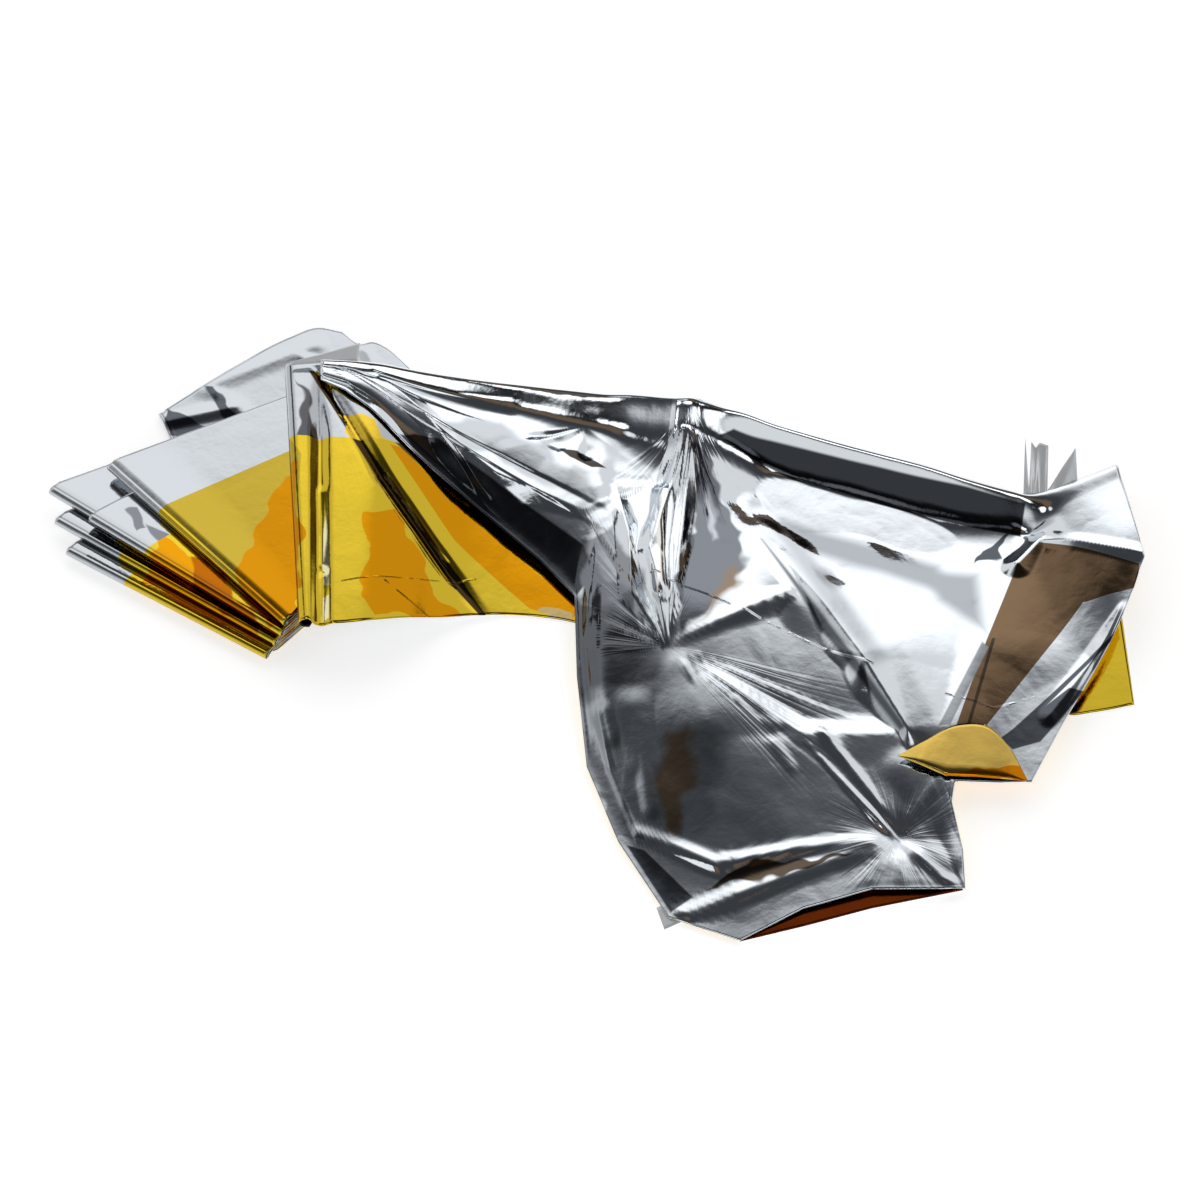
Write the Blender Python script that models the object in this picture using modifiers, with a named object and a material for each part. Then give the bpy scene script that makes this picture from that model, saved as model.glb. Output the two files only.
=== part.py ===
# Emergency foil blanket, partly unfolded: one sheet of metallised film.
# One end is still an accordion of folds, fanned out on the surface. From the top
# fold the strip runs down to the surface, turns over along its back edge, and comes
# forward again as an opened, crumpled sheet that ends in a flap.
# Tables are in millimetres. X runs along the strip, -Y toward the opened flap.

import math
from collections import namedtuple

import bpy
from mathutils import Vector

MM = 0.001
NAME = "foil_blanket"
FILM = 1.0                      # modelled thickness of the film and the air it traps
CENTRE = Vector((-7.54, -11.5, 0))  # middle of the layout's base, moved to the origin

ACROSS_STEPS = 8                # faces across the strip
PANEL_STEPS = 3                 # faces along one flat panel of the accordion
LEFT_TURN_STEPS = 5
RIGHT_TURN_STEPS = 4
RIB_STEPS = 2                   # sheet sections between two rows of the rib table
LIFTED = 4.0                    # the strip takes its crease only above this level
TINY = 1e-6

# Accordion folds, from the bottom of the stack up. far and near are the two ends of
# the fold line, low and high the levels of the two panels that it joins, and bulge
# how far the rounded fold stands out. side is -1 left, 1 right, 0 a bend in a panel.
Fold = namedtuple("Fold", "side far near low high bulge")
FOLDS = [
    Fold(0, (-190, 232), (-156, 34), 0.5, 0.5, 0),
    Fold(-1, (-326, 166), (-228, -44), 0.5, 2.6, 2.0),
    Fold(0, (-212, 250), (-196, 0), 2.6, 2.6, 0),
    Fold(1, (-146, 222), (-152, 30), 2.6, 4.7, 1.6),
    Fold(-1, (-380, 36), (-232, -53), 4.7, 6.8, 2.4),
    Fold(1, (-176, 196), (-158, 32), 6.8, 8.9, 1.6),
    Fold(-1, (-390, 60), (-226, -45), 8.9, 11.0, 2.2),
    Fold(1, (-182, 188), (-162, 29), 11.0, 13.1, 1.6),
    Fold(-1, (-396, 84), (-223, -36), 13.1, 15.2, 2.0),
    Fold(1, (-176, 193), (-157, 33), 15.2, 17.4, 1.6),
    Fold(-1, (-364, 56), (-221, -43), 17.4, 19.6, 2.6),
    Fold(1, (-181, 187), (-162, 30), 19.6, 21.8, 1.6),
    Fold(-1, (-354, 98), (-219, -38), 22.0, 27.2, 3.6),
    Fold(1, (-178, 190), (-160, 34), 24.0, 26.4, 1.6),
    Fold(-1, (-231, 184), (-207, -44), 29.6, 39.6, 7.0),
]

# Sections of the opened strip, from the accordion to the far right end. The strip
# itself lies at height ply from back to ply_near. At back it turns over a crest and
# returns as the sheet, through the heights mid and low, to front at height edge.
# lip is how much of the sheet's edge is turned up and back over itself, and spike how
# far the crest is drawn out backward into an upright point.
Rib = namedtuple("Rib", "back crest ply ply_near front mid low edge lip spike", defaults=[0])
RIBS = [
    Rib((-204, 182), 45, 38.0, (-196, -46), (-203, 166), 44, 43, 42, 0),
    Rib((-184, 182), 44, 36.5, (-180, -45), (-184, 163), 42, 41, 40, 0),
    Rib((-162, 182), 41, 34.0, (-160, -41), (-168, 156), 40, 39, 38, 0),
    Rib((-136, 179), 37, 23.0, (-136, -31), (-150, 142), 34, 31, 29, 0),
    Rib((-100, 175), 33, 9.0, (-110, -21), (-120, 118), 27, 22, 18, 0),
    Rib((-55, 170), 31, 2.0, (-74, -14), (-82, 76), 24, 17, 10, 0),
    Rib((-18, 166), 30, 0.5, (-30, -17), (-42, 30), 22, 14, 8, 0),
    Rib((5, 163), 30, 0.5, (2, -26), (-19, -10), 20, 14, 9, 0),
    Rib((22, 161), 32, 0.5, (28, -33), (-16, -70), 18, 13, 6, 0),
    Rib((36, 158), 34, 0.5, (50, -38), (-9, -140), 17, 14, 3, 0),
    Rib((48, 155), 36, 0.5, (70, -42), (12, -198), 16, 13, 1, 0),
    Rib((58, 153), 38, 0.5, (90, -46), (45, -255), 14, 10, 0.8, 0),
    Rib((67, 152), 39, 0.5, (109, -50), (91, -273), 12, 9, 0.8, 0),
    Rib((76, 150), 37, 0.5, (128, -54), (134, -261), 12, 10, 0.8, 0),
    Rib((87, 147), 35, 0.5, (148, -58), (180, -249), 14, 12, 0.8, 0),
    Rib((104, 142), 34, 0.5, (170, -62), (240, -235), 15, 13, 0.8, 0),
    Rib((124, 134), 32, 0.5, (192, -67), (240, -205), 15, 12, 2, 0),
    Rib((147, 126), 31, 0.5, (214, -72), (235, -169), 14, 10, 4, 0),
    Rib((171, 118), 30, 0.5, (236, -77), (238, -154), 13, 8, 3, 6),
    Rib((197, 109), 30, 0.5, (258, -81), (263, -156), 12, 7, 3, 26),
    Rib((230, 98), 30, 0.5, (282, -86), (289, -155), 11, 7, 3, 5),
    Rib((264, 85), 30, 0.5, (306, -92), (314, -108), 11, 8, 4, 0),
    Rib((292, 76), 31, 0.5, (324, -97), (339, -67), 13, 10, 6, 0),
    Rib((306, 76), 46, 0.5, (336, -95), (352, -44), 15, 11, 7, 0, 18),
    Rib((320, 78), 33, 0.5, (347, -93), (362, -24), 18, 14, 9, 0),
    Rib((336, 82), 45, 0.5, (356, -91), (371, -6), 21, 17, 12, 0, 14),
    Rib((353, 88), 33, 0.5, (364, -89), (377, 8), 24, 20, 14, 0),
    Rib((371, 97), 34, 0.5, (369, -88), (381, 16), 26, 22, 16, 0),
]
FOOT_BACK = 4.0                 # the strip's turned edge lies this far behind the crest
BAND = 15.0                     # width of the upright band below the crest
BAND_DROP = 11.0
MID_AT = 0.42
LOW_AT = 0.76
EDGE_STRIP = 5.0                # last strip of the sheet, or where its lip starts
LIP_LIFT = 5.0
SECTION_STEPS = [3, 3, 6, 6, 3, 3]  # faces from foot to crest, band, mid, low, edge, tip

# Creases pressed into the opened sheet: a straight ridge, or a trough where height is
# negative, of a soft bell-shaped section.
Crease = namedtuple("Crease", "start end height width")
SHEET_CREASES = [
    Crease((64, 122), (48, -40), 9, 13),
    Crease((66, 122), (104, 42), 7, 11),
    Crease((104, 42), (130, -8), 8, 11),
    Crease((116, 60), (180, -61), 8, 13),
    Crease((180, -61), (207, -113), 6, 11),
    Crease((19, 65), (40, -40), 6, 10),
    Crease((-34, 130), (-6, 20), -6, 14),
    Crease((-120, 150), (-40, 70), 4, 11),
    Crease((60, -58), (136, -118), 9, 12),
    Crease((136, -118), (228, -116), 9, 13),
    Crease((136, -118), (190, -190), 6, 11),
    Crease((70, -75), (62, -160), -7, 16),
    Crease((-2, -70), (32, -180), 6, 14),
    Crease((185, -199), (75, -232), 4, 11),
    Crease((295, 25), (250, -105), 7, 12),
    Crease((312, 40), (372, 14), 7, 11),
]
Pinch = namedtuple("Pinch", "at depth radius")
SHEET_PINCHES = [
    Pinch((46, -51), 10, 17),
    Pinch((197, -197), 6, 15),
    Pinch((174, 15), 5, 16),
    Pinch((306, 50), 7, 15),
]
CLEAR = 2.4                     # least height of the sheet's middle above the strip's
LOWEST = 0.8                    # least height of the sheet's middle above the surface

EDGE_FADE = 0.35                # share of a crease's height left along the sheet's edge

# The fold of the strip where it comes down from the top of the accordion.
GOLD_CREASE = Crease((-196, 120), (-84, 0), -4.5, 12)


def lerp(a, b, t):
    return a + (b - a) * t


def flat(pair, z):
    return Vector((pair[0], pair[1], z))


def smooth_through(points, steps):
    """Points on a smooth curve through all points; steps gives the faces of each span.

    The slope at a point leans toward its shorter span, so the curve doesn't loop
    where a short span meets a long one.
    """
    last = len(points) - 1
    spans = [max((b - a).length, TINY) for a, b in zip(points, points[1:])]
    chords = [(b - a) / span for a, b, span in zip(points, points[1:], spans)]
    slopes = [chords[0]]
    for i in range(1, last):
        before, after = spans[i - 1], spans[i]
        slopes.append((chords[i - 1] * after + chords[i] * before) / (before + after))
    slopes.append(chords[-1])
    curve = []
    for i in range(last):
        for step in range(steps[i]):
            t = step / steps[i]
            curve.append(
                points[i] * (2 * t ** 3 - 3 * t * t + 1)
                + points[i + 1] * (3 * t * t - 2 * t ** 3)
                + slopes[i] * spans[i] * (t ** 3 - 2 * t * t + t)
                + slopes[i + 1] * spans[i] * (t ** 3 - t * t)
            )
    return curve + [points[last]]


def fold_lines(fold):
    """Straight lines, as (far, near) pairs, that go round one fold from low to high."""
    if fold.side == 0:
        return [(flat(fold.far, fold.low), flat(fold.near, fold.low))]
    along = (Vector(fold.near) - Vector(fold.far)).normalized()
    outward = Vector((along.y, -along.x, 0)) * -fold.side
    steps = LEFT_TURN_STEPS if fold.side < 0 else RIGHT_TURN_STEPS
    middle = (fold.low + fold.high) / 2
    half = (fold.high - fold.low) / 2
    lines = []
    for step in range(steps + 1):
        angle = math.pi * (step / steps - 0.5)
        shift = outward * fold.bulge * (math.cos(angle) - 1)
        level = middle + half * math.sin(angle)
        lines.append((flat(fold.far, level) + shift, flat(fold.near, level) + shift))
    return lines


def accordion_lines():
    lines = []
    for fold in FOLDS:
        turn = fold_lines(fold)
        if lines:
            far, near = lines[-1]
            for step in range(1, PANEL_STEPS):
                t = step / PANEL_STEPS
                lines.append((lerp(far, turn[0][0], t), lerp(near, turn[0][1], t)))
        lines += turn
    return lines


def rib_controls(rib):
    """The points that one section of the opened strip passes through."""
    back = Vector(rib.back)
    front = Vector(rib.front)
    length = (front - back).length
    forward = (front - back) / length
    band = min(BAND, 0.3 * length)
    strip = min(EDGE_STRIP, 0.2 * length)
    tip = rib.lip + strip if rib.lip else 0
    lift = LIP_LIFT if rib.lip else 0
    drop = BAND_DROP * band / BAND
    stations = [
        (-FOOT_BACK, rib.ply),
        (0, rib.crest),
        (band, max(rib.crest - drop, rib.mid)),
        (max(MID_AT * length, band + 2), rib.mid),
        (LOW_AT * length, rib.low),
        (length - strip, rib.edge),
        (length - tip, rib.edge + lift),
    ]
    controls = [flat(back + forward * run, level) for run, level in stations]
    controls[1].y += rib.spike
    controls[0] = flat((rib.back[0], rib.back[1] + FOOT_BACK), rib.ply)
    return controls + [flat(rib.ply_near, rib.ply)]


def refined_ribs():
    """The rib table's sections with more of them worked out smoothly in between."""
    rows = [rib_controls(rib) for rib in RIBS]
    spans = [RIB_STEPS] * (len(rows) - 1)
    columns = [smooth_through(list(column), spans) for column in zip(*rows)]
    for point in columns[0] + columns[-1]:
        point.z = max(point.z, FILM / 2)
    return [list(row) for row in zip(*columns)]


def bell(distance, width):
    return math.exp(-(distance / width) ** 2)


def distance_to(crease, point):
    start = Vector(crease.start)
    run = Vector(crease.end) - start
    t = (point - start).dot(run) / run.dot(run)
    return (point - start - run * min(max(t, 0), 1)).length


def pressed(point, creases, pinches):
    """Height that the strongest ridge, the strongest trough and the pinches add."""
    plan = point.to_2d()
    raised = [c.height * bell(distance_to(c, plan), c.width) for c in creases]
    height = max(raised + [0]) + min(raised + [0])
    for pinch in pinches:
        height -= pinch.depth * bell((plan - Vector(pinch.at)).length, pinch.radius)
    return height


def strip_level(lines, point):
    """Level of the opened strip under a point, or None where it isn't under it."""
    for (far_a, near_a), (far_b, near_b) in zip(lines, lines[1:]):
        t_a = (far_a.y - point.y) / (far_a.y - near_a.y)
        t_b = (far_b.y - point.y) / (far_b.y - near_b.y)
        if not (0 <= t_a <= 1 and 0 <= t_b <= 1):
            continue
        left = lerp(far_a.x, near_a.x, t_a)
        right = lerp(far_b.x, near_b.x, t_b)
        if left <= point.x <= right:
            return lerp(far_a.z, far_b.z, (point.x - left) / max(right - left, TINY))
    return None


def strip_row(far, near):
    row = []
    for step in range(ACROSS_STEPS + 1):
        point = lerp(far, near, step / ACROSS_STEPS)
        if step and point.z > LIFTED:
            point.z = max(point.z + pressed(point, [GOLD_CREASE], []), FILM / 2)
        row.append(point)
    return row


def sheet_row(controls, lines):
    curve = smooth_through(controls, SECTION_STEPS)
    crest_at = SECTION_STEPS[0]
    fade_over = SECTION_STEPS[1] + 2
    lip_from = len(curve) - 1 - SECTION_STEPS[-1]
    for i in range(crest_at + 1, len(curve)):
        point = curve[i]
        fade = min((i - crest_at) / fade_over, 1)
        if i >= lip_from:
            fade *= EDGE_FADE
        point.z += pressed(point, SHEET_CREASES, SHEET_PINCHES) * fade
        level = strip_level(lines, point)
        lowest = LOWEST if level is None else level + CLEAR
        point.z = max(point.z, lowest)
    return curve


def add_grid(faces, rows):
    """Triangles between rows, so that both skins of the film split along one diagonal."""
    for lower, upper in zip(rows, rows[1:]):
        for i in range(len(lower) - 1):
            faces.append((lower[i], upper[i], upper[i + 1]))
            faces.append((lower[i], upper[i + 1], lower[i + 1]))


def blanket_surface():
    """Vertices and faces of the film's middle surface, one sheet with one turned edge."""
    vertices = []

    def store(points):
        first = len(vertices)
        vertices.extend((point - CENTRE) * MM for point in points)
        return list(range(first, len(vertices)))

    ribs = refined_ribs()
    opened = [(row[0], row[-1]) for row in ribs]
    accordion = accordion_lines()
    strip_rows = []
    for far, near in accordion:
        row = [lerp(far, near, step / ACROSS_STEPS) for step in range(ACROSS_STEPS + 1)]
        strip_rows.append(store(row))
    opened_rows = [store(strip_row(far, near)) for far, near in opened]
    strip_rows += opened_rows

    sheet_rows = []
    for row, opened_row in zip(ribs, opened_rows):
        curve = sheet_row(row[:-1], opened)
        sheet_rows.append([opened_row[0]] + store(curve[1:]))

    faces = []
    add_grid(faces, strip_rows)
    sheet_faces = []
    add_grid(sheet_faces, sheet_rows)
    faces += [tuple(reversed(face)) for face in sheet_faces]
    return vertices, faces


def film_material():
    material = bpy.data.materials.new("silvered_film")
    material.use_nodes = True
    shader = material.node_tree.nodes["Principled BSDF"]
    shader.inputs["Base Color"].default_value = (0.80, 0.81, 0.83, 1)
    shader.inputs["Roughness"].default_value = 0.18
    shader.inputs["Metallic"].default_value = 1.0
    return material


def build():
    for item in list(bpy.data.objects):
        bpy.data.objects.remove(item)
    parts = bpy.data.collections.new("emergency_foil_blanket")
    bpy.context.scene.collection.children.link(parts)

    vertices, faces = blanket_surface()
    mesh = bpy.data.meshes.new(NAME)
    mesh.from_pydata(vertices, [], faces)
    mesh.materials.append(film_material())
    blanket = bpy.data.objects.new(NAME, mesh)
    parts.objects.link(blanket)

    film = blanket.modifiers.new("film", "SOLIDIFY")
    film.thickness = FILM * MM
    film.offset = 0
    film.use_even_offset = False


build()
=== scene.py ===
import math
from collections import namedtuple

import bpy
import numpy as np
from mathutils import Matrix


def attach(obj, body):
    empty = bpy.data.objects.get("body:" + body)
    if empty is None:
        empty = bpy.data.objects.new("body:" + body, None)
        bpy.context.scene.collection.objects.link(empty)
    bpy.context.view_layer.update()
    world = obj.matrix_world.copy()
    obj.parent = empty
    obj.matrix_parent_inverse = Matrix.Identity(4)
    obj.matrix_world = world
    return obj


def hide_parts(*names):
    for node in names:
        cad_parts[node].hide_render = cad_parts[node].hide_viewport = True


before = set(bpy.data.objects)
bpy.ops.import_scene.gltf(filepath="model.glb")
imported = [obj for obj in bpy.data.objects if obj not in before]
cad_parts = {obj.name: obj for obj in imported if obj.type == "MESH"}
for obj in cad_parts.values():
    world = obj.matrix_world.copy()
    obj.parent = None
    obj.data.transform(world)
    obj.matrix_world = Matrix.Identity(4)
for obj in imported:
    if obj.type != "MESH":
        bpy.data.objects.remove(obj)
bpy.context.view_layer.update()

mm = 0.001
leastSteps = 3  # between two stations of a table
layoutCentre = np.array([-7.54, -11.5, 0.0])  # the tables' middle, which lies at the origin
bodyName = "root"
nodeName = "foil_blanket"

print("stage: frame loaded")


# small helpers

def lerp(a, b, t):
    return a + (b - a) * t


def between(value, low, high):
    # how far a value is on its way from low to high
    return np.clip((value - low) / (high - low), 0, 1)


def at(pair, height):
    return np.array([pair[0], pair[1], height], dtype=float)


def lengths(vectors):
    return np.linalg.norm(vectors, axis=-1)


def smoothThrough(points, steps):
    # a smooth curve along the first axis, whose slope leans toward the shorter span
    points = np.asarray(points, dtype=float)
    hops = points[1:] - points[:-1]
    spans = np.maximum(lengths(hops)[..., None], 1e-6)
    chords = hops / spans
    slopes = [chords[0]]
    for i in range(1, len(points) - 1):
        before, after = spans[i - 1], spans[i]
        slopes.append((chords[i - 1] * after + chords[i] * before) / (before + after))
    slopes.append(chords[-1])
    curve = []
    for i, count in enumerate(steps):
        for step in range(count):
            t = step / count
            curve.append(
                points[i] * (2 * t ** 3 - 3 * t * t + 1)
                + points[i + 1] * (3 * t * t - 2 * t ** 3)
                + slopes[i] * spans[i] * (t ** 3 - 2 * t * t + t)
                + slopes[i + 1] * spans[i] * (t ** 3 - t * t)
            )
    curve.append(points[-1])
    return np.array(curve)


def straightThrough(points, steps):
    points = np.asarray(points, dtype=float)
    curve = [lerp(points[i], points[i + 1], step / count)
             for i, count in enumerate(steps) for step in range(count)]
    return np.array(curve + [points[-1]])


def plug(socket, value):
    # a link where the value is a socket, and otherwise the plain value; colours are opaque
    if isinstance(value, bpy.types.NodeSocket):
        socket.id_data.links.new(value, socket)
    else:
        socket.default_value = (*value, 1) if socket.type == "RGBA" else value


def addNode(tree, kind, inputs=(), **settings):
    # inputs: what each named or numbered socket is given, if anything
    node = tree.nodes.new(kind)
    count = len(tree.nodes)
    node.location = (200 * (count % 10), -260 * (count // 10))
    for name, value in settings.items():
        setattr(node, name, value)
    for name, value in dict(inputs).items():
        if value is not None:
            plug(node.inputs[name], value)
    return node


def calc(tree, operation, *values, clamp=False):
    return addNode(tree, "ShaderNodeMath", enumerate(values), operation=operation, use_clamp=clamp).outputs[0]


def vector(tree, operation, *values):
    node = addNode(tree, "ShaderNodeVectorMath", enumerate(values), operation=operation)
    return node.outputs["Value" if operation in ("DOT_PRODUCT", "LENGTH", "DISTANCE") else "Vector"]


def remap(tree, value, fromLow, fromHigh, toLow, toHigh, interpolation="SMOOTHSTEP"):
    inputs = {"Value": value, "From Min": fromLow, "From Max": fromHigh, "To Min": toLow, "To Max": toHigh}
    return addNode(tree, "ShaderNodeMapRange", inputs, interpolation_type=interpolation).outputs["Result"]


def noise(tree, place, scale, detail, distortion=0.0, dimensions="3D", seed=None):
    inputs = {"Vector": place, "Scale": scale, "Detail": detail, "Distortion": distortion, "W": seed}
    return addNode(tree, "ShaderNodeTexNoise", inputs, noise_dimensions=dimensions).outputs


def blend(tree, share, first, second):
    inputs = {"Factor": share, "A": first, "B": second}
    return addNode(tree, "ShaderNodeMix", inputs, data_type="RGBA").outputs["Result"]


def bumped(tree, height, strength, distance, normal=None):
    # the normal after a bump, on top of the bumps before it
    inputs = {"Strength": strength, "Distance": distance, "Height": height, "Normal": normal}
    return addNode(tree, "ShaderNodeBump", inputs).outputs["Normal"]


def objectPlace(tree):
    return addNode(tree, "ShaderNodeTexCoord").outputs["Object"]


def makeGroup(name, inputs, outputs, kind="ShaderNodeTree"):
    # the group with what it is given and what it hands back; a socket has a kind or a first number
    group = bpy.data.node_groups.new(name, kind)
    for side, sockets in (("INPUT", inputs), ("OUTPUT", outputs)):
        for socketName, value in sockets.items():
            number = isinstance(value, float)
            kind = "NodeSocket" + ("Float" if number else value)
            socket = group.interface.new_socket(socketName, in_out=side, socket_type=kind)
            if number:
                socket.default_value = value
    return group, addNode(group, "NodeGroupInput").outputs, addNode(group, "NodeGroupOutput").inputs


def useGroup(tree, group, inputs=()):
    return addNode(tree, "ShaderNodeGroup", inputs, node_tree=group).outputs


# finishes

crackle = {
    "coarseDetail": 3,
    "distortion": 0.6,
    "fineDetail": 2,
    "fineShare": 0.22,
    "glossFrom": 0.35,   # noise values between which the gloss goes from low to high
    "glossTo": 0.7,
    "bumpDistance": 0.004,
}


def makeCrinkleGroup():
    # fine crackle of the film: a height for bump, and how the gloss varies
    tree, given, out = makeGroup("film crinkle", {
        "Coarse Scale": 38.0, "Fine Scale": 240.0, "Low Gloss": "Float", "High Gloss": "Float",
    }, {"Height": "Float", "Roughness": "Float"})
    place = objectPlace(tree)
    coarse = noise(tree, place, given["Coarse Scale"], crackle["coarseDetail"], crackle["distortion"])["Fac"]
    fine = noise(tree, place, given["Fine Scale"], crackle["fineDetail"])["Fac"]
    plug(out["Height"], calc(tree, "ADD", coarse, calc(tree, "MULTIPLY", fine, crackle["fineShare"])))
    plug(out["Roughness"], remap(tree, coarse, crackle["glossFrom"], crackle["glossTo"],
                                 given["Low Gloss"], given["High Gloss"], "LINEAR"))
    return tree


pressed = {"breakScale": 90, "breakDetail": 2, "gone": 0.40, "whole": 0.55}


def makePressGroup():
    # one thin straight mark pressed into the film, broken here and there
    tree, given, out = makeGroup("pressed mark", {
        "Start": "Vector", "End": "Vector", "Width": "Float", "Height": 0.0,
    }, {"Height": "Float"})
    plan = vector(tree, "MULTIPLY", objectPlace(tree), (1, 1, 0))
    run = vector(tree, "SUBTRACT", given["End"], given["Start"])
    away = vector(tree, "SUBTRACT", plan, given["Start"])
    along = calc(tree, "DIVIDE", vector(tree, "DOT_PRODUCT", away, run),
                 vector(tree, "DOT_PRODUCT", run, run), clamp=True)
    gap = vector(tree, "DISTANCE", away, vector(tree, "MULTIPLY", run, along))
    line = remap(tree, gap, 0.0, given["Width"], 1.0, 0.0)
    breaks = noise(tree, plan, pressed["breakScale"], pressed["breakDetail"])["Fac"]
    kept = remap(tree, breaks, pressed["gone"], pressed["whole"], 0.0, 1.0, "LINEAR")
    mark = calc(tree, "MULTIPLY", line, kept)
    plug(out["Height"], calc(tree, "MAXIMUM", mark, given["Height"]))
    return tree


pleat = {"detail": 1.5, "softSide": 0.05, "fadeFrom": 0.3}


def makePleatGroup():
    # fine pleats that run out from a gathered point one way, added to a height
    tree, given, out = makeGroup("gathered pleats", {
        "Centre": "Vector", "Toward": "Vector", "Spread": "Float",
        "Reach": "Float", "Fineness": "Float", "Depth": "Float", "Height": 0.0,
    }, {"Height": "Float"})
    away = vector(tree, "SUBTRACT", objectPlace(tree), given["Centre"])
    plan = vector(tree, "MULTIPLY", away, (1, 1, 0))
    ray = vector(tree, "NORMALIZE", plan)
    share = calc(tree, "DIVIDE", vector(tree, "LENGTH", plan), given["Reach"])
    drift = addNode(tree, "ShaderNodeCombineXYZ", {"Z": share}).outputs["Vector"]
    spot = vector(tree, "ADD", vector(tree, "MULTIPLY", ray, given["Fineness"]), drift)
    chance = noise(tree, spot, 1.0, pleat["detail"])["Fac"]
    folded = calc(tree, "ABSOLUTE", calc(tree, "SUBTRACT", chance, 0.5))
    inside = remap(tree, vector(tree, "DOT_PRODUCT", ray, given["Toward"]), given["Spread"],
                   calc(tree, "ADD", given["Spread"], pleat["softSide"]), 0.0, 1.0)
    fade = calc(tree, "MULTIPLY", remap(tree, share, pleat["fadeFrom"], 1.0, 1.0, 0.0), inside)
    deep = calc(tree, "MULTIPLY", calc(tree, "MULTIPLY", fade, share), given["Depth"])
    lift = calc(tree, "MULTIPLY", folded, deep)
    plug(out["Height"], calc(tree, "ADD", lift, given["Height"]))
    return tree


def makePlanGroup():
    # the place on the film seen from above, plain and with its lines made uneven
    tree, given, out = makeGroup("film plan", {"Unevenness": 0.03, "Scale": 34.0},
                                  {"Plain": "Vector", "Uneven": "Vector"})
    place = objectPlace(tree)
    shift = vector(tree, "SUBTRACT", noise(tree, place, given["Scale"], 1.5)["Color"], (0.5, 0.5, 0.5))
    moved = vector(tree, "ADD", place, vector(tree, "MULTIPLY", shift, given["Unevenness"]))
    for name, source in (("Plain", place), ("Uneven", moved)):
        plug(out[name], vector(tree, "MULTIPLY_ADD", source, (1, 1, 0), (0, 0, 1)))
    return tree


def makePaintedEdgeGroup():
    # how far inside a painted patch of reflection and shade a place lies, from one more of its edges
    tree, given, out = makeGroup("painted patch edge", {"Plan": "Vector", "Edge": "Vector", "Inside": 1.0},
                                  {"Inside": "Float"})
    inward = vector(tree, "DOT_PRODUCT", given["Plan"], given["Edge"])
    plug(out["Inside"], calc(tree, "MINIMUM", given["Inside"], inward))
    return tree


crinkleGroup = makeCrinkleGroup()
pressGroup = makePressGroup()
pleatGroup = makePleatGroup()
planGroup = makePlanGroup()
paintedEdgeGroup = makePaintedEdgeGroup()

# a gathered point: where, which way its pleats run in degrees, how wide a fan, how far, how fine, how deep
# a patch where reflection, shade and highlights are painted into the film's colour: its colour, how soft its
# edge is in mm, its corners, and True where its edge is uneven

# colours painted in as light and shade: orange reflection on gold, near-black shade in folds, slate and brown
# reflections, and painted shade in the groove beside the upright roll
orangeReflectionPaint = (0.68, 0.29, 0.004)
foldShadePaint = (0.045, 0.028, 0.008)
slateReflectionPaint = (0.09, 0.10, 0.115)
brownReflectionPaint = (0.184, 0.119, 0.069)
rollGrooveShade = (foldShadePaint, 1.2, [(-214, 178), (-208, 178), (-148, 83), (-156, 78)])

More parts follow.
